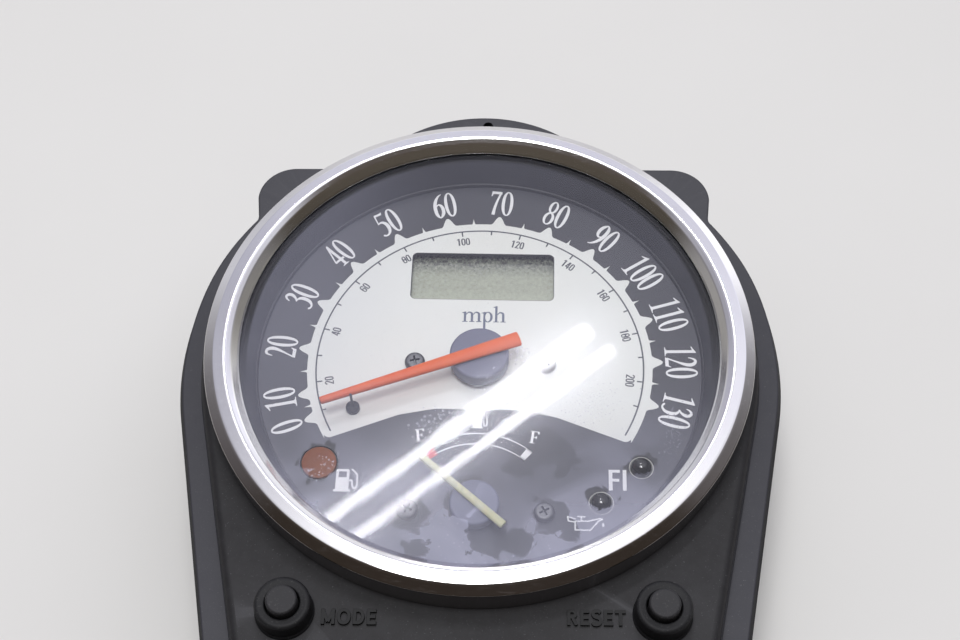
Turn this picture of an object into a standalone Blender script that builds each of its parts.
# Round motorcycle instrument cluster: chrome-ringed speedometer with a fuel
# gauge and a small display, on a black tear-drop cover with two push buttons.
#
# Units: dimensions are millimetres, meshes are made in metres.
# Frame: origin on the rear rest face, on the speed pointer's axis; +Z out of
# the dial, +Y to 12 o'clock, +X to 3 o'clock. Left is -X and right is +X.
# Angles are degrees, counter-clockwise from +X.
from math import asin, atan2, cos, degrees, hypot, pi, radians, sin, sqrt, tan

import bmesh
import bpy
from mathutils import Vector
from mathutils.geometry import delaunay_2d_cdt

MM = 0.001
GAP = 0.3                    # clearance between neighbouring pieces

# ---- heights -------------------------------------------------------------
Z_DIAL = 36.0                # printed face of the dial
Z_DECK = 39.5                # top of the raised deck of the cover
Z_FLANGE = 34.5              # top of the lower flange of the cover
Z_SKIRT = 22.0               # bottom edge of the cover's skirt
Z_CEILING = 37.5             # inside face of the deck
Z_UNDER = 32.5               # inside face of the flange
Z_CREST = 48.0               # highest line of the chrome ring
PLATE_BOTTOM, PLATE_TOP = 23.5, 26.0         # rim plate of the rear case
FLOOR_T = 2.2                # floor of the rear case
BOARD_BOTTOM = PLATE_TOP + GAP
BOARD_TOP = BOARD_BOTTOM + 1.6
Z_ON_BOARD = BOARD_TOP + GAP                 # foot of the parts on the board

# ---- plan outline; tapers are measured from the Y axis -------------------
R_FLANGE = 67.7
TAPER_FLANGE = 11.5
Y_TAIL_FLANGE = -106.0
NOTCH_ANGLE = 37.5                           # where the flange circle meets the ear
EAR_X, EAR_Y, EAR_R = 45.4, 47.3, 8.8
HUMP_Y, HUMP_R = 38.5, 34.2
R_DECK = 62.1
TAPER_DECK = 12.0
Y_TAIL_DECK = -100.0
WALL = 2.0

# ---- ring, lens, dial ----------------------------------------------------
R_BEZEL, R_CREST, R_BEZEL_IN = 60.0, 55.5, 52.5
R_COLLAR_OUT, R_COLLAR_IN, Z_COLLAR = 57.2, 54.2, 42.2
R_LENS, LENS_BOTTOM, LENS_TOP = 56.6, 43.4, 44.9
R_DIAL = 53.2
DIAL_BACK = Z_DIAL - 1.0
HOLDER_TOP = DIAL_BACK - GAP
DIAL_SCREWS = [(-14.8, 0.0), (14.8, 0.0), (-14.5, -36.6), (14.5, -36.6)]
SCREW_HOLE_R = 1.7

# ---- display -------------------------------------------------------------
LCD_Y = 23.7
LCD_WINDOW_W, LCD_WINDOW_H, LCD_WINDOW_R = 33.0, 12.8, 1.2
LCD_W, LCD_H, LCD_BOTTOM = 39.2, 17.8, 32.5

# ---- pointers ------------------------------------------------------------
SPEED_AXIS = (0.0, 0.0)
FUEL_AXIS = (0.0, -36.3)
SPEED_REST, FUEL_REST = 200.5, 138.4         # directions of the blades at rest
STOP_PIN = (-27.6, -12.2)

# ---- lamps ---------------------------------------------------------------
LAMP_R = 2.0
LOW_FUEL_X, LOW_FUEL_Y, LOW_FUEL_LENS_R = -34.0, -25.6, 4.0
FI_HOLE = (35.5, -25.4, 2.65)                # x, y, radius in the dial
OIL_HOLE = (26.8, -34.0, 2.7)
INDICATOR_Y, INDICATOR_PITCH = -79.0, 15.0
STRIP_W, STRIP_H, STRIP_R = 47.0, 10.0, 2.2  # opening for the indicator lens

# ---- push buttons --------------------------------------------------------
BUTTON_X, BUTTON_Y = 38.1, -60.8
BUTTONS = {"mode": (-BUTTON_X, BUTTON_Y), "reset": (BUTTON_X, BUTTON_Y)}
BUTTON_HOLE_R, BOOT_R, KEY_R = 4.8, 6.2, 3.5

# ---- gear train of each pointer motor ------------------------------------
MODULE = 0.52
OUTPUT_TEETH, PINION_TEETH, IDLER_TEETH, ROTOR_TEETH = 24, 8, 20, 8
OUTPUT_TO_IDLER = MODULE * (OUTPUT_TEETH + PINION_TEETH) / 2.0
IDLER_TO_ROTOR = MODULE * (IDLER_TEETH + ROTOR_TEETH) / 2.0

# ---- fasteners and openings of the rear case -----------------------------
FLANGE_SCREWS = [(-46.4, 48.4), (46.4, 48.4), (0.0, 64.6)]   # into flange posts
DECK_SCREWS = [(-34.5, -91.5), (34.5, -91.5)]                # into deck posts
CASE_SCREWS = FLANGE_SCREWS + DECK_SCREWS
FLANGE_SCREW_TIP, FLANGE_POST_HOLE_END = 32.6, 33.3
DECK_SCREW_TIP, DECK_POST_HOLE_END = 34.6, 35.5
MOUNTS = {"left": (-36.0, -20.0), "right": (36.0, -20.0), "top": (0.0, 42.0)}
PLUG_X, PLUG_Y, PLUG_W, PLUG_H = 0.0, -66.0, 25.0, 13.0
BREATHER = (24.0, 30.0)


# ==========================================================================
# materials
MATERIALS = {}


def add_material(name, *, colour, roughness, metallic=0.0, alpha=1.0, transmission=0.0):
    mat = bpy.data.materials.new(name)
    mat.use_nodes = True
    inputs = mat.node_tree.nodes["Principled BSDF"].inputs
    inputs["Base Color"].default_value = (*colour, 1.0)
    inputs["Roughness"].default_value = roughness
    inputs["Metallic"].default_value = metallic
    inputs["Alpha"].default_value = alpha
    inputs["Transmission Weight"].default_value = transmission
    mat.diffuse_color = (*colour, alpha)
    MATERIALS[name] = mat


def add_materials():
    add_material("cover_plastic", colour=(0.040, 0.040, 0.050), roughness=0.52)
    add_material("chrome", colour=(0.80, 0.79, 0.78), roughness=0.12, metallic=1.0)
    add_material("clear_lens", colour=(0.92, 0.93, 0.94), roughness=0.06, alpha=0.35,
                 transmission=0.8)
    add_material("seal_rubber", colour=(0.020, 0.020, 0.022), roughness=0.75)
    add_material("reveal_black", colour=(0.015, 0.015, 0.018), roughness=0.45)
    add_material("dial_print", colour=(0.72, 0.73, 0.72), roughness=0.55)
    add_material("white_plastic", colour=(0.75, 0.75, 0.72), roughness=0.50)
    add_material("steel_screw", colour=(0.10, 0.10, 0.11), roughness=0.40, metallic=0.8)
    add_material("pointer_red", colour=(0.78, 0.12, 0.05), roughness=0.40)
    add_material("pointer_yellow", colour=(0.72, 0.72, 0.38), roughness=0.45)
    add_material("hub_black", colour=(0.030, 0.030, 0.036), roughness=0.50)
    add_material("lcd_glass", colour=(0.28, 0.31, 0.22), roughness=0.20)
    add_material("amber_lens", colour=(0.30, 0.09, 0.03), roughness=0.25)
    add_material("lamp_resin", colour=(0.16, 0.17, 0.16), roughness=0.15)
    add_material("board_green", colour=(0.02, 0.12, 0.05), roughness=0.45)
    add_material("motor_plastic", colour=(0.06, 0.06, 0.06), roughness=0.50)
    add_material("gear_nylon", colour=(0.70, 0.68, 0.60), roughness=0.45)
    add_material("magnet", colour=(0.08, 0.08, 0.09), roughness=0.45)
    add_material("button_rubber", colour=(0.022, 0.022, 0.026), roughness=0.62)
    add_material("smoke_lens", colour=(0.02, 0.02, 0.025), roughness=0.12)
    add_material("brass", colour=(0.66, 0.47, 0.20), roughness=0.30, metallic=1.0)
    add_material("case_plastic", colour=(0.030, 0.030, 0.033), roughness=0.58)
    add_material("tinned_pin", colour=(0.70, 0.70, 0.68), roughness=0.30, metallic=1.0)


# ==========================================================================
# plane outlines: counter-clockwise lists of (x, y)
def arc(x, y, radius, start, end, segments, with_end=True):
    count = segments + 1 if with_end else segments
    angles = [radians(start + (end - start) * i / segments) for i in range(count)]
    return [(x + radius * cos(angle), y + radius * sin(angle)) for angle in angles]


def circle(x, y, radius, segments):
    return arc(x, y, radius, 0.0, 360.0, segments, with_end=False)


def rounded(points, radii, segments):
    """Fillet each corner of a counter-clockwise polygon that has a radius."""
    outline = []
    for i, (point, radius) in enumerate(zip(points, radii)):
        if radius <= 0:
            outline.append(point)
            continue
        corner = Vector(point)
        back = (Vector(points[i - 1]) - corner).normalized()
        ahead = (Vector(points[(i + 1) % len(points)]) - corner).normalized()
        half = back.angle(ahead) / 2.0
        setback = radius / tan(half)
        centre = corner + (back + ahead).normalized() * (radius / sin(half))
        first = corner + back * setback - centre
        last = corner + ahead * setback - centre
        start = atan2(first.y, first.x)
        turn = (atan2(last.y, last.x) - start + pi) % (2 * pi) - pi
        outline += arc(centre.x, centre.y, radius, degrees(start), degrees(start + turn), segments)
    return outline


def box_outline(x, y, width, height, radius=0.0, segments=3):
    right, top = x + width / 2, y + height / 2
    left, bottom = x - width / 2, y - height / 2
    corners = [(right, bottom), (right, top), (left, top), (left, bottom)]
    return rounded(corners, [radius] * 4, segments)


def offset(outline, distance):
    """Move every edge of a counter-clockwise loop outwards by distance."""
    moved = []
    for i, (x, y) in enumerate(outline):
        x_prev, y_prev = outline[i - 1]
        x_next, y_next = outline[(i + 1) % len(outline)]
        length_in = hypot(x - x_prev, y - y_prev)
        length_out = hypot(x_next - x, y_next - y)
        normal_in = ((y - y_prev) / length_in, -(x - x_prev) / length_in)
        normal_out = ((y_next - y) / length_out, -(x_next - x) / length_out)
        scale = 1.0 + normal_in[0] * normal_out[0] + normal_in[1] * normal_out[1]
        moved.append((x + distance * (normal_in[0] + normal_out[0]) / scale,
                      y + distance * (normal_in[1] + normal_out[1]) / scale))
    return moved


def tail(radius, taper, y_end, corner_r, corner_rise):
    """Flanks and rounded end below a circle, from its left tangent point
    round to the right one."""
    x_tangent, y_tangent = radius * cos(radians(taper)), -radius * sin(radians(taper))
    y_corner = y_end + corner_rise
    x_corner = x_tangent - (y_tangent - y_corner) * tan(radians(taper))
    apex = (0.0, 400.0)                    # only closes the polygon, dropped below
    polygon = [(-x_tangent, y_tangent), (-x_corner, y_corner), (0.0, y_end - 0.4),
               (x_corner, y_corner), (x_tangent, y_tangent), apex]
    return rounded(polygon, [0, corner_r, 120.0, corner_r, 0, 0], 6)[:-1]


def teardrop(radius, taper, y_end, corner_r, corner_rise, segments):
    top = arc(0, 0, radius, -taper, 180.0 + taper, segments)
    return top[1:-1] + tail(radius, taper, y_end, corner_r, corner_rise)


def flange_outline():
    """Tear-drop with an ear at each shoulder and a hump at 12 o'clock."""
    ear_angle = degrees(asin((EAR_Y + EAR_R) / R_FLANGE))
    # point where the hump's circle crosses the flange's circle
    y_cross = (R_FLANGE ** 2 - HUMP_R ** 2 + HUMP_Y ** 2) / (2 * HUMP_Y)
    x_cross = sqrt(R_FLANGE ** 2 - y_cross ** 2)
    cross_angle = degrees(atan2(y_cross, x_cross))
    hump_start = degrees(atan2(y_cross - HUMP_Y, x_cross))
    right = arc(0, 0, R_FLANGE, -TAPER_FLANGE, NOTCH_ANGLE, 9)[1:]
    right += arc(EAR_X, EAR_Y, EAR_R, 0, 90, 7)
    right += arc(0, 0, R_FLANGE, ear_angle, cross_angle, 2)
    hump = arc(0, HUMP_Y, HUMP_R, hump_start, 180 - hump_start, 14)[1:-1]
    left = [(-x, y) for x, y in reversed(right)]
    end = tail(R_FLANGE, TAPER_FLANGE, Y_TAIL_FLANGE, corner_r=18.0, corner_rise=3.0)
    return right + hump + left + end


FLANGE = flange_outline()
DECK = teardrop(R_DECK, TAPER_DECK, Y_TAIL_DECK, corner_r=14.0, corner_rise=3.0, segments=40)
BOARD = offset(teardrop(R_DECK, TAPER_DECK, -86.5, corner_r=12.0, corner_rise=1.5,
                        segments=30), -2.8)
TUB = teardrop(R_DECK - 4.6, TAPER_DECK, -79.0, corner_r=12.0, corner_rise=2.0, segments=32)


# ==========================================================================
# closed bodies
def inside(point, polygon):
    x, y = point
    hit = False
    for i, (x_end, y_end) in enumerate(polygon):
        x_start, y_start = polygon[i - 1]
        if (y_start > y) != (y_end > y):
            if x < (x_end - x_start) * (y - y_start) / (y_end - y_start) + x_start:
                hit = not hit
    return hit


class Solid:
    """One closed body: loops of points joined by walls and flat caps."""

    def __init__(self):
        self.verts, self.faces = [], []

    def add_points(self, points):
        first = len(self.verts)
        self.verts += points
        return list(range(first, len(self.verts)))

    def loop(self, outline, z):
        return self.add_points([(x, y, z) for x, y in outline])

    def wall(self, *loops):
        for low, high in zip(loops, loops[1:]):
            for i in range(len(low)):
                j = (i + 1) % len(low)
                self.faces.append((low[i], low[j], high[j], high[i]))

    def stack(self, rings):
        """rings: (outline, z) pairs; returns the first and the last loop."""
        loops = [self.loop(outline, z) for outline, z in rings]
        self.wall(*loops)
        return loops[0], loops[-1]

    def tube(self, outline, z_first, z_last):
        """Straight wall; returns its two loops."""
        return self.stack([(outline, z_first), (outline, z_last)])

    def cap(self, outer, *holes):
        """Flat face inside the outer loop, less the holes."""
        ids, edges = [], []
        for loop in (outer,) + holes:
            first, count = len(ids), len(loop)
            edges += [(first + i, first + (i + 1) % count) for i in range(count)]
            ids += loop
        points = [Vector(self.verts[i][:2]) for i in ids]
        _, _, triangles, originals, _, _ = delaunay_2d_cdt(points, edges, [], 1, 1e-7, True)
        rim = [self.verts[i][:2] for i in outer]
        cuts = [[self.verts[i][:2] for i in hole] for hole in holes]
        for triangle in triangles:
            face = [ids[originals[i][0]] for i in triangle]
            centre = [sum(self.verts[i][axis] for i in face) / 3.0 for axis in (0, 1)]
            if inside(centre, rim) and not any(inside(centre, cut) for cut in cuts):
                self.faces.append(tuple(face))

    def blind(self, outline, z_open, z_end):
        """Wall and end of a blind hole or a post; returns its open loop."""
        mouth, end = self.tube(outline, z_open, z_end)
        self.cap(end)
        return mouth

    def hollow_post(self, x, y, z_foot, z_end, radius, hole_r, z_hole, segments=12):
        """Post standing on a face at z_foot with a blind hole in its end."""
        foot, end = self.tube(circle(x, y, radius, segments), z_foot, z_end)
        self.cap(end, self.blind(circle(x, y, hole_r, segments), z_end, z_hole))
        return foot


def build(name, solid, mat, loc=(0, 0, 0), turn=0.0, parent=None, smooth=40.0):
    """Make the object; edges sharper than smooth degrees stay sharp."""
    mesh = bpy.data.meshes.new(name)
    bm = bmesh.new()
    verts = [bm.verts.new((x * MM, y * MM, z * MM)) for x, y, z in solid.verts]
    for face in solid.faces:
        bm.faces.new([verts[i] for i in face])
    bmesh.ops.recalc_face_normals(bm, faces=bm.faces)
    bm.to_mesh(mesh)
    bm.free()
    mesh.materials.append(MATERIALS[mat])
    mesh.shade_smooth()
    mesh.set_sharp_from_angle(angle=radians(smooth))
    place(bpy.data.objects.new(name, mesh), loc, turn, parent)


def place(obj, loc, turn, parent=None):
    bpy.context.scene.collection.objects.link(obj)
    obj.location = [c * MM for c in loc]
    obj.rotation_euler = (0, 0, radians(turn))
    obj.parent = parent


def build_turned(name, mat, segments, profile, **placing):
    """Turned body. profile: (radius, z) points; a closed ring section, or a
    section that starts and ends on the axis with radius 0."""
    solid = Solid()
    rings = []
    for radius, z in profile:
        if radius <= 0:
            rings.append(solid.add_points([(0.0, 0.0, z)]))
        else:
            rings.append(solid.loop(circle(0, 0, radius, segments), z))
    pairs = list(zip(rings, rings[1:]))
    if profile[0][0] > 0:
        pairs.append((rings[-1], rings[0]))
    for first, second in pairs:
        if len(first) == 1 or len(second) == 1:
            pole, ring = (first[0], second) if len(first) == 1 else (second[0], first)
            solid.faces += [(pole, ring[i], ring[(i + 1) % segments]) for i in range(segments)]
        else:
            solid.wall(first, second)
    build(name, solid, mat, **placing)


def build_slab(name, mat, outline, z_low, z_high, holes=(), **placing):
    """Flat plate with straight through holes."""
    solid = Solid()
    low, high = solid.tube(outline, z_low, z_high)
    cuts = [solid.tube(hole, z_low, z_high) for hole in holes]
    solid.cap(low, *[cut[0] for cut in cuts])
    solid.cap(high, *[cut[1] for cut in cuts])
    build(name, solid, mat, **placing)


def cross_outline(arm, width):
    half = width / 2.0
    return [(arm, -half), (arm, half), (half, half), (half, arm), (-half, arm), (-half, half),
            (-arm, half), (-arm, -half), (-half, -half), (-half, -arm), (half, -arm),
            (half, -half)]


def cross_screw(name, x, y, z_seat, z_tip, head_r, head_h, shank_r, up=1.0):
    """Pan-head cross-recess screw. up = 1: head on top, -1: head below."""
    solid = Solid()
    z_head = z_seat + up * head_h
    seat, dome = solid.stack([(circle(0, 0, head_r, 12), z_seat),
                              (circle(0, 0, head_r, 12), z_seat + up * 0.5 * head_h),
                              (circle(0, 0, head_r * 0.72, 12), z_head)])
    recess, recess_end = solid.stack([
        (cross_outline(head_r * 0.50, head_r * 0.24), z_head),
        (cross_outline(head_r * 0.34, head_r * 0.16), z_head - up * 0.6 * head_h)])
    solid.cap(recess_end)
    solid.cap(dome, recess)
    neck, tip = solid.stack([(circle(0, 0, shank_r, 6), z_seat),
                             (circle(0, 0, shank_r * 0.85, 6), z_tip)])
    solid.cap(tip)
    solid.cap(seat, neck)
    build(name, solid, "steel_screw", loc=(x, y, 0), smooth=30)


# ==========================================================================
# front cover, chrome ring and lens
def front_cover():
    """Skirt, flange with ears and hump, raised deck, lens collar."""
    solid = Solid()
    # outer skin
    skirt_end, lip = solid.stack([(FLANGE, Z_SKIRT), (FLANGE, Z_FLANGE - 1.2),
                                  (offset(FLANGE, -0.35), Z_FLANGE - 0.35),
                                  (offset(FLANGE, -1.2), Z_FLANGE)])
    deck_foot, deck_lip = solid.stack([(offset(DECK, 0.25), Z_FLANGE),
                                       (offset(DECK, -0.1), Z_DECK - 1.0),
                                       (offset(DECK, -0.4), Z_DECK - 0.3),
                                       (offset(DECK, -1.1), Z_DECK)])
    dimple = solid.blind(circle(0, 70.1, 1.3, 12), Z_FLANGE, Z_FLANGE - 1.4)
    solid.cap(lip, deck_foot, dimple)
    # collar that carries the lens seal, the lens and the chrome ring
    collar_foot, collar_top = solid.tube(circle(0, 0, R_COLLAR_OUT, 48), Z_DECK, Z_COLLAR)
    bore_low, bore_top = solid.tube(circle(0, 0, R_COLLAR_IN, 48), Z_CEILING, Z_COLLAR)
    solid.cap(collar_top, bore_top)
    holes = [circle(x, y, BUTTON_HOLE_R, 20) for x, y in BUTTONS.values()]
    holes.append(box_outline(0.0, INDICATOR_Y, STRIP_W, STRIP_H, STRIP_R))
    openings = [solid.tube(hole, Z_CEILING, Z_DECK) for hole in holes]
    solid.cap(deck_lip, collar_foot, *[opening[1] for opening in openings])
    # inner skin
    inner_low, inner_high = solid.tube(offset(FLANGE, -WALL), Z_SKIRT, Z_UNDER)
    solid.wall(skirt_end, inner_low)
    well_low, well_high = solid.tube(offset(DECK, -WALL), Z_UNDER, Z_CEILING)

    def posts(screws, z_foot, z_hole):
        return [solid.hollow_post(x, y, z_foot, PLATE_TOP + GAP, radius=2.8, hole_r=1.6,
                                  z_hole=z_hole) for x, y in screws]

    solid.cap(inner_high, well_low, *posts(FLANGE_SCREWS, Z_UNDER, FLANGE_POST_HOLE_END))
    solid.cap(well_high, bore_low, *[opening[0] for opening in openings],
              *posts(DECK_SCREWS, Z_CEILING, DECK_POST_HOLE_END))
    build("front_cover", solid, "cover_plastic", smooth=35)


def bezel_ring():
    """Rolled foot, skirt, small shoulder and groove, crowned top, slope to the lens."""
    build_turned("bezel_ring", "chrome", 56, [
        (R_BEZEL - 1.1, Z_DECK + 0.5), (R_BEZEL, Z_DECK + 0.5), (R_BEZEL, Z_DECK + 5.9),
        (R_BEZEL - 0.5, Z_DECK + 6.8), (R_BEZEL - 1.15, Z_DECK + 6.8),
        (R_BEZEL - 1.6, Z_DECK + 7.6), (R_CREST + 1.0, Z_CREST), (R_CREST, Z_CREST - 0.15),
        (R_BEZEL_IN, LENS_TOP + 0.6), (R_BEZEL_IN, LENS_TOP + GAP),
        (R_LENS + 0.35, LENS_TOP + GAP), (R_BEZEL - 1.6, LENS_TOP - 0.9)], smooth=35)


def lens_and_seal():
    build_turned("lens", "clear_lens", 48, [
        (0.0, LENS_BOTTOM), (R_LENS - 0.3, LENS_BOTTOM), (R_LENS, LENS_BOTTOM + 0.3),
        (R_LENS, LENS_TOP), (0.0, LENS_TOP)], smooth=35)
    seal_in, seal_out = R_COLLAR_IN + 0.3, R_COLLAR_OUT - 0.3
    seal_low, seal_high = Z_COLLAR + GAP, LENS_BOTTOM - GAP
    build_turned("lens_seal", "seal_rubber", 36, [
        (seal_in, seal_low), (seal_out, seal_low), (seal_out, seal_high), (seal_in, seal_high)])


def reveal_ring():
    """Matt black cone between the lens and the dial."""
    build_turned("reveal_ring", "reveal_black", 44, [
        (49.5, Z_DIAL + GAP), (51.6, Z_DIAL + GAP), (53.6, 38.0), (53.6, 42.9), (52.2, 42.9)])


# ==========================================================================
# dial, the white holder behind it, and the display
def dial_screw_holes():
    return [circle(x, y, SCREW_HOLE_R, 8) for x, y in DIAL_SCREWS]


def shaft_and_lamp_holes(grow):
    holes = [circle(x, y, 2.2 + grow, 12) for x, y in (SPEED_AXIS, FUEL_AXIS)]
    holes += [circle(x, y, radius + grow, 12) for x, y, radius in (FI_HOLE, OIL_HOLE)]
    holes.append(circle(LOW_FUEL_X, LOW_FUEL_Y, LOW_FUEL_LENS_R + GAP + grow, 16))
    return holes


def dial_plate():
    window = box_outline(0, LCD_Y, LCD_WINDOW_W, LCD_WINDOW_H, LCD_WINDOW_R)
    build_slab("dial_plate", "dial_print", circle(0, 0, R_DIAL, 44), DIAL_BACK, Z_DIAL,
               dial_screw_holes() + shaft_and_lamp_holes(0.0) + [window])


def dial_holder():
    """Shallow dish, open to the rear, with a sleeve for each dial screw."""
    solid = Solid()
    z_under = 33.2
    rim_top, rim_low = solid.tube(circle(0, 0, 52.4, 36), HOLDER_TOP, Z_ON_BOARD)
    inner_low, inner_high = solid.tube(circle(0, 0, 50.6, 36), Z_ON_BOARD, z_under)
    solid.cap(rim_low, inner_low)
    tops, unders = [], []
    for (x, y), hole in zip(DIAL_SCREWS, dial_screw_holes()):
        low, top = solid.tube(hole, Z_ON_BOARD, HOLDER_TOP)
        foot, end = solid.tube(circle(x, y, 3.2, 8), z_under, Z_ON_BOARD)
        solid.cap(end, low)
        unders.append(foot)
        tops.append(top)
    display_hole = box_outline(0, LCD_Y, LCD_W + 1.0, LCD_H + 1.0)
    for hole in shaft_and_lamp_holes(0.4) + [display_hole]:
        low, top = solid.tube(hole, z_under, HOLDER_TOP)
        unders.append(low)
        tops.append(top)
    solid.cap(rim_top, *tops)
    solid.cap(inner_high, *unders)
    build("dial_holder", solid, "white_plastic")


def display():
    """Liquid-crystal cell seen through the dial's window, on its frame."""
    build_slab("lcd_panel", "lcd_glass", box_outline(0, LCD_Y, LCD_W, LCD_H),
               LCD_BOTTOM, HOLDER_TOP)
    frame_w, frame_h, frame_bar = LCD_W - 0.4, LCD_H - 0.4, 2.0
    opening = box_outline(0, LCD_Y, frame_w - 2 * frame_bar, frame_h - 2 * frame_bar)
    build_slab("lcd_frame", "white_plastic", box_outline(0, LCD_Y, frame_w, frame_h),
               Z_ON_BOARD, LCD_BOTTOM - GAP, [opening])


def dial_fittings():
    """Dial screws and the pin that stops the speed pointer."""
    for i, (x, y) in enumerate(DIAL_SCREWS, 1):
        cross_screw(f"dial_screw_{i}", x, y, z_seat=Z_DIAL + GAP, z_tip=18.0,
                    head_r=2.3, head_h=1.3, shank_r=1.25)
    build_turned("pointer_stop_pin", "hub_black", 12, [
        (0, Z_DIAL + GAP), (1.55, Z_DIAL + GAP), (1.55, Z_DIAL + 1.2),
        (0.5, Z_DIAL + 1.8), (0.5, Z_DIAL + 6.5), (0, Z_DIAL + 6.5)], loc=(*STOP_PIN, 0))


# ==========================================================================
# pointers
def hub_cap(name, radius, z_top, segments, parent):
    z_skirt = Z_DIAL + 1.6
    build_turned(name, "hub_black", segments, [
        (0, z_top), (radius - 0.4, z_top), (radius, z_top - 0.5), (radius, z_skirt),
        (2.6, z_skirt), (2.6, z_skirt - 0.8), (1.1, z_skirt - 0.8), (1.1, z_top - 1.3),
        (0, z_top - 1.3)], parent=parent)


def blade(name, mat, stations, z_low, thickness, parent):
    """Pointer blade along local +X. stations: (x, half width), tail first."""
    solid = Solid()
    z_high = z_low + thickness
    z_edge = z_low + 0.55 * thickness
    rings = [solid.add_points([
        (x, -half, z_low), (x, half, z_low), (x, half, z_edge), (x, 0.35 * half, z_high),
        (x, -0.35 * half, z_high), (x, -half, z_edge)]) for x, half in stations]
    solid.wall(*rings)
    solid.faces += [tuple(rings[0]), tuple(rings[-1])]
    build(name, solid, mat, parent=parent)


def pointer(tag, mat, axis, rest, hub_r, hub_top, hub_segments, stations, thickness, side):
    """Hub, blade and motor gear hang on an empty turned to the rest reading."""
    pivot = bpy.data.objects.new(tag + "_pointer_axis", None)
    pivot.empty_display_size = 0.01
    place(pivot, (*axis, 0), rest)
    hub_cap(tag + "_hub_cap", hub_r, hub_top, hub_segments, pivot)
    blade(tag + "_pointer", mat, stations, hub_top + GAP, thickness, pivot)
    motor(tag, axis, side, hub_top - 1.7, rest, pivot)


def pointers():
    pointer("speed", "pointer_red", SPEED_AXIS, SPEED_REST,
            hub_r=6.8, hub_top=41.3, hub_segments=24,
            stations=[(-9.5, 1.82), (-2.0, 1.65), (14.0, 1.32), (36.0, 0.90), (36.8, 0.80)],
            thickness=1.1, side=1)
    pointer("fuel", "pointer_yellow", FUEL_AXIS, FUEL_REST,
            hub_r=5.5, hub_top=40.5, hub_segments=20,
            stations=[(-8.4, 0.95), (0.0, 0.88), (15.2, 0.72), (15.9, 0.60)],
            thickness=0.9, side=-1)


# ==========================================================================
# pointer motors behind the dial: case, cover and a two-stage gear train
MOTOR_COVER_BOTTOM, MOTOR_COVER_TOP = 15.9, 17.1
MOTOR_CEILING = 24.6
JOURNAL_BOTTOM, JOURNAL_TOP = 16.8, 25.1
JOURNAL = circle(0, 0, 0.6, 8)


def gear(teeth, phase):
    """Gear outline; a tooth is centred at angle phase."""
    pitch_r, step = MODULE * teeth / 2.0, 360.0 / teeth
    root_r, tip_r = pitch_r - 1.12 * MODULE, pitch_r + 0.78 * MODULE
    # corners of one tooth: (fraction of the tooth step, radius)
    tooth = [(-0.23, root_r), (-0.07, tip_r), (0.07, tip_r), (0.23, root_r)]
    outline = []
    for i in range(teeth):
        for fraction, radius in tooth:
            angle = radians(phase + step * (i + fraction))
            outline.append((radius * cos(angle), radius * sin(angle)))
    return outline


def belt_outline(x, y, radius, y_far, radius_far, segments):
    """Belt round two circles at the same x, the second one at y_far."""
    lean = degrees(asin((radius - radius_far) / abs(y_far - y)))
    if y_far > y:
        return (arc(x, y_far, radius_far, lean, 180 - lean, segments)
                + arc(x, y, radius, 180 - lean, 360 + lean, segments))
    return (arc(x, y, radius, -lean, 180 + lean, segments)
            + arc(x, y_far, radius_far, 180 + lean, 360 - lean, segments))


def stepped_shaft(z_bottom, sections):
    """sections: (outline, z_top), each standing on the one below."""
    def reach(outline):
        return max(hypot(x, y) for x, y in outline)

    solid = Solid()
    below, below_reach = None, 0.0
    for outline, z_top in sections:
        low, high = solid.tube(outline, z_bottom, z_top)
        if below is None:
            solid.cap(low)
        elif reach(outline) > below_reach:
            solid.cap(low, below)
        else:
            solid.cap(below, low)
        below, below_reach, z_bottom = high, reach(outline), z_top
    solid.cap(below)
    return solid


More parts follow.
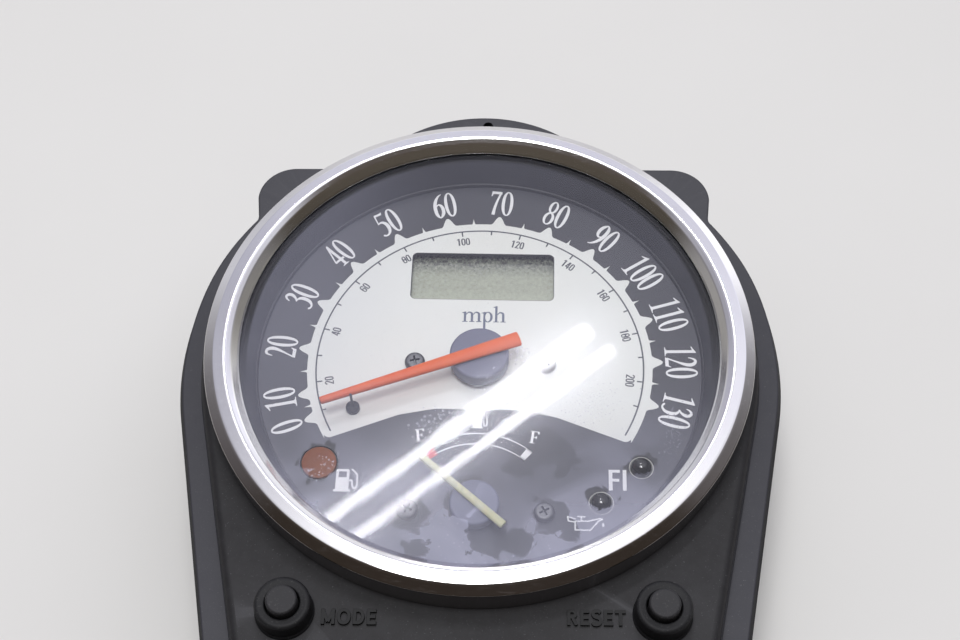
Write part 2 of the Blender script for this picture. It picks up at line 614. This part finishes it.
def motor(tag, axis, side, shaft_top, rest, parent):
    """side = 1: gear train runs towards +Y, -1: towards -Y."""
    x, y = axis
    along = 90.0 * side                           # direction of the gear train
    y_idler = y + side * OUTPUT_TO_IDLER
    y_rotor = y_idler + side * IDLER_TO_ROTOR
    outer = belt_outline(x, y, 9.4, y_rotor, 7.0, 12)
    inner = offset(outer, -1.2)
    pivots = [circle(x, y_idler, 0.95, 8), circle(x, y_rotor, 0.95, 8)]

    case = Solid()                                # open towards the rear
    low, high = case.tube(outer, MOTOR_COVER_TOP + GAP, PLATE_TOP)
    inner_low, inner_high = case.tube(inner, MOTOR_COVER_TOP + GAP, MOTOR_CEILING)
    case.wall(low, inner_low)
    bore_low, bore_high = case.tube(circle(x, y, 1.15, 10), MOTOR_CEILING, PLATE_TOP)
    case.cap(high, bore_high)
    sockets = [case.blind(hole, MOTOR_CEILING, MOTOR_CEILING + 0.8) for hole in pivots]
    case.cap(inner_high, bore_low, *sockets)
    build(tag + "_motor_case", case, "motor_plastic")

    cover = Solid()
    low, high = cover.tube(outer, MOTOR_COVER_BOTTOM, MOTOR_COVER_TOP)
    cover.cap(low)
    cover.cap(high, *[cover.blind(hole, MOTOR_COVER_TOP, MOTOR_COVER_TOP - 0.7)
                      for hole in pivots + [circle(x, y, 1.15, 8)]])
    build(tag + "_motor_cover", cover, "motor_plastic")

    # output gear on the pointer shaft; the turn cancels its parent's
    shaft = circle(0, 0, 0.75, 10)
    output = stepped_shaft(16.7, [(shaft, 22.0), (gear(OUTPUT_TEETH, along), 23.3),
                                  (shaft, shaft_top)])
    build(tag + "_motor_gear", output, "gear_nylon", turn=-rest, parent=parent)

    # idler: wheel below, pinion above with a tooth space facing the output axis
    pinion = gear(PINION_TEETH, along + 180.0 + 180.0 / PINION_TEETH)
    idler = stepped_shaft(JOURNAL_BOTTOM, [(JOURNAL, 18.6), (gear(IDLER_TEETH, along), 19.9),
                                           (pinion, 24.0), (JOURNAL, JOURNAL_TOP)])
    build(tag + "_motor_idler", idler, "gear_nylon", loc=(x, y_idler, 0))

    # rotor: pinion below, magnet above
    pinion = gear(ROTOR_TEETH, along + 180.0 + 180.0 / ROTOR_TEETH)
    rotor = stepped_shaft(JOURNAL_BOTTOM, [(JOURNAL, 18.2), (pinion, 20.4),
                                           (circle(0, 0, 4.2, 20), 23.9), (JOURNAL, JOURNAL_TOP)])
    build(tag + "_motor_rotor", rotor, "magnet", loc=(x, y_rotor, 0))


# ==========================================================================
# lamps
def lamp(name, x, y, z_top, segments):
    """Domed resin lamp standing on the board."""
    foot_r, z_foot = LAMP_R + 0.25, Z_ON_BOARD + 1.0
    build_turned(name, "lamp_resin", segments, [
        (0, Z_ON_BOARD), (foot_r, Z_ON_BOARD), (foot_r, z_foot), (LAMP_R, z_foot),
        (LAMP_R, z_top - 0.8 * LAMP_R), (LAMP_R * 0.7, z_top - 0.2 * LAMP_R), (0, z_top)],
        loc=(x, y, 0))


def lamps():
    lamp("fi_lamp", *FI_HOLE[:2], Z_DIAL + 0.7, 12)
    lamp("oil_lamp", *OIL_HOLE[:2], Z_DIAL + 0.7, 12)
    lamp("low_fuel_lamp", LOW_FUEL_X, LOW_FUEL_Y, 33.6, 8)
    for i in range(3):
        lamp(f"indicator_lamp_{i + 1}", (i - 1) * INDICATOR_PITCH, INDICATOR_Y, 34.2, 8)


def low_fuel_lens():
    z_bottom, z_top = 34.3, Z_DIAL + 0.35
    build_turned("low_fuel_lens", "amber_lens", 20, [
        (0, z_bottom), (LOW_FUEL_LENS_R, z_bottom), (LOW_FUEL_LENS_R, z_top - 0.25),
        (LOW_FUEL_LENS_R - 0.3, z_top), (0, z_top)], loc=(LOW_FUEL_X, LOW_FUEL_Y, 0))


def indicator_lens():
    """Smoked lens: proud of the deck, held by a rim under it."""
    solid = Solid()
    rim = box_outline(0, INDICATOR_Y, STRIP_W + 3.0, STRIP_H + 3.0, 3.0)
    window = box_outline(0, INDICATOR_Y, STRIP_W - 2 * GAP, STRIP_H - 2 * GAP, STRIP_R - GAP)
    rim_low, rim_high = solid.tube(rim, 35.7, Z_CEILING - GAP)
    window_foot, window_top = solid.stack([
        (window, Z_CEILING - GAP), (window, Z_DECK + 0.1), (offset(window, -0.4), Z_DECK + 0.5)])
    solid.cap(rim_low)
    solid.cap(rim_high, window_foot)
    solid.cap(window_top)
    build("indicator_lens", solid, "smoke_lens")


# ==========================================================================
# push buttons: rubber boot in the deck, key in the boot, switch on the board
def push_button(tag, x, y):
    loc = (x, y, 0)
    neck_r = BUTTON_HOLE_R - GAP
    build_turned(tag + "_boot", "button_rubber", 16, [
        (2.7, 36.2), (5.5, 36.2), (5.5, Z_CEILING - GAP), (neck_r, Z_CEILING - GAP),
        (neck_r, Z_DECK + GAP), (BOOT_R, Z_DECK + GAP), (BOOT_R, 43.1), (BOOT_R - 0.8, 44.1),
        (4.6, 44.1), (3.85, 43.2), (3.85, 40.5), (2.7, 40.5)], loc=loc)
    build_turned(tag + "_button", "button_rubber", 16, [
        (0, 34.9), (2.3, 34.9), (2.3, 41.8), (KEY_R, 41.8), (KEY_R, 44.3),
        (KEY_R - 0.5, 44.9), (0, 44.9)], loc=loc)
    switch_top = 33.0
    switch = Solid()
    low, high = switch.tube(box_outline(0, 0, 6.0, 6.0), Z_ON_BOARD, switch_top)
    switch.cap(low)
    switch.cap(high, switch.blind(circle(0, 0, 1.95, 12), switch_top, 29.6))
    build(tag + "_switch", switch, "motor_plastic", loc=loc)
    build_turned(tag + "_switch_plunger", "hub_black", 12,
                 [(0, 31.0), (1.6, 31.0), (1.6, 34.6), (0, 34.6)], loc=loc)


# ==========================================================================
# board and rear case
def board():
    """Circuit board over the rear case's rim plate, with its microcontroller."""
    shaft_holes = [circle(x, y, 2.5, 8) for x, y in (SPEED_AXIS, FUEL_AXIS)]
    build_slab("main_board", "board_green", BOARD, BOARD_BOTTOM, BOARD_TOP,
               dial_screw_holes() + shaft_holes)
    build_slab("microcontroller", "motor_plastic", box_outline(-30.0, 12.0, 12.0, 12.0),
               Z_ON_BOARD, Z_ON_BOARD + 1.6)


def rear_case():
    """Rim plate that closes the cover, and the tub that holds the motors."""
    solid = Solid()
    plate_low, plate_high = solid.tube(offset(FLANGE, -2.5), PLATE_BOTTOM, PLATE_TOP)
    foot, base = solid.stack([(TUB, PLATE_BOTTOM), (offset(TUB, -2.0), 1.2),
                              (offset(TUB, -3.2), 0.0)])
    mouth, floor = solid.stack([(offset(TUB, -2.0), PLATE_TOP), (offset(TUB, -4.0), FLOOR_T)])
    screw_holes = [solid.tube(circle(x, y, SCREW_HOLE_R, 12), PLATE_BOTTOM, PLATE_TOP)
                   for x, y in CASE_SCREWS]
    solid.cap(plate_low, foot, *[hole[0] for hole in screw_holes])
    solid.cap(plate_high, mouth, *[hole[1] for hole in screw_holes])
    floor_cuts, base_cuts = [], []
    for x, y in DIAL_SCREWS:                       # bosses under the dial screws
        floor_cuts.append(solid.hollow_post(x, y, FLOOR_T, PLATE_TOP, radius=3.2, hole_r=1.55,
                                            z_hole=17.0, segments=10))
    for x, y in MOUNTS.values():                   # pockets for the threaded inserts
        base_cuts.append(solid.blind(circle(x, y, 4.3, 14), 0.0, 12.0))
        floor_cuts.append(solid.blind(circle(x, y, 6.0, 12), FLOOR_T, 14.0))
    plug_hole = box_outline(PLUG_X, PLUG_Y, PLUG_W + 2 * GAP, PLUG_H + 2 * GAP)
    wide, narrow = circle(*BREATHER, 3.9, 12), circle(*BREATHER, 1.8, 12)
    for low, high in (solid.tube(plug_hole, 0.0, FLOOR_T),
                      solid.stack([(wide, 0.0), (wide, 1.0), (narrow, 1.0), (narrow, FLOOR_T)])):
        base_cuts.append(low)
        floor_cuts.append(high)
    solid.cap(base, *base_cuts)
    solid.cap(floor, *floor_cuts)
    build("rear_case", solid, "case_plastic", smooth=35)


def case_seal():
    """Gasket between case and cover."""
    solid = Solid()
    outer = solid.tube(offset(FLANGE, -3.0), PLATE_TOP + GAP, Z_UNDER - GAP)
    inner = solid.tube(offset(FLANGE, -4.2), PLATE_TOP + GAP, Z_UNDER - GAP)
    for outer_loop, inner_loop in zip(outer, inner):
        solid.wall(outer_loop, inner_loop)
    build("case_seal", solid, "seal_rubber")


def case_fasteners():
    """Screws from behind, and brass inserts flush with the rest face."""
    for i, (x, y) in enumerate(CASE_SCREWS, 1):
        z_tip = FLANGE_SCREW_TIP if (x, y) in FLANGE_SCREWS else DECK_SCREW_TIP
        cross_screw(f"case_screw_{i}", x, y, z_seat=PLATE_BOTTOM - GAP, z_tip=z_tip,
                    head_r=2.9, head_h=1.9, shank_r=1.3, up=-1.0)
    for tag, (x, y) in MOUNTS.items():
        build_turned("mount_insert_" + tag, "brass", 14,
                     [(2.6, 0.0), (4.0, 0.0), (4.0, 11.4), (2.6, 11.4)], loc=(x, y, 0))


def connector():
    """Plug housing under the board, open downwards, with its contact row."""
    z_mouth = 1.0
    shell = Solid()
    low, high = shell.tube(box_outline(PLUG_X, PLUG_Y, PLUG_W, PLUG_H, 1.2, 2),
                           z_mouth, PLATE_TOP)
    cavity = box_outline(PLUG_X, PLUG_Y, PLUG_W - 3.0, PLUG_H - 3.0, 0.8, 2)
    shell.cap(low, shell.blind(cavity, z_mouth, 23.0))
    shell.cap(high)
    build("connector_shell", shell, "case_plastic")

    carrier_bottom, carrier_top, pin_tip = 20.7, 22.7, 9.0
    pin_pitch, pin_width = 3.2, 0.9
    contacts = Solid()
    carrier = box_outline(PLUG_X, PLUG_Y, PLUG_W - 4.0, PLUG_H - 5.0)
    low, high = contacts.tube(carrier, carrier_bottom, carrier_top)
    contacts.cap(high)
    pins = [box_outline(PLUG_X + (i - 2.5) * pin_pitch, PLUG_Y + row, pin_width, pin_width)
            for row in (-1.9, 1.9) for i in range(6)]
    contacts.cap(low, *[contacts.blind(pin, carrier_bottom, pin_tip) for pin in pins])
    build("connector_pins", contacts, "tinned_pin")


def breather_plug():
    build_turned("breather_plug", "seal_rubber", 12, [
        (0, 0.15), (3.5, 0.15), (3.5, 0.7), (1.5, 0.7), (1.5, 2.6), (2.3, 2.7), (2.2, 3.3),
        (1.2, 4.4), (0, 4.6)], loc=(*BREATHER, 0))


# ==========================================================================
for old in list(bpy.data.objects):
    bpy.data.objects.remove(old, do_unlink=True)

add_materials()
front_cover()
bezel_ring()
lens_and_seal()
reveal_ring()
dial_plate()
dial_holder()
display()
dial_fittings()
pointers()
lamps()
low_fuel_lens()
indicator_lens()
for button_tag, (button_x, button_y) in BUTTONS.items():
    push_button(button_tag, button_x, button_y)
board()
rear_case()
case_seal()
case_fasteners()
connector()
breather_plug()
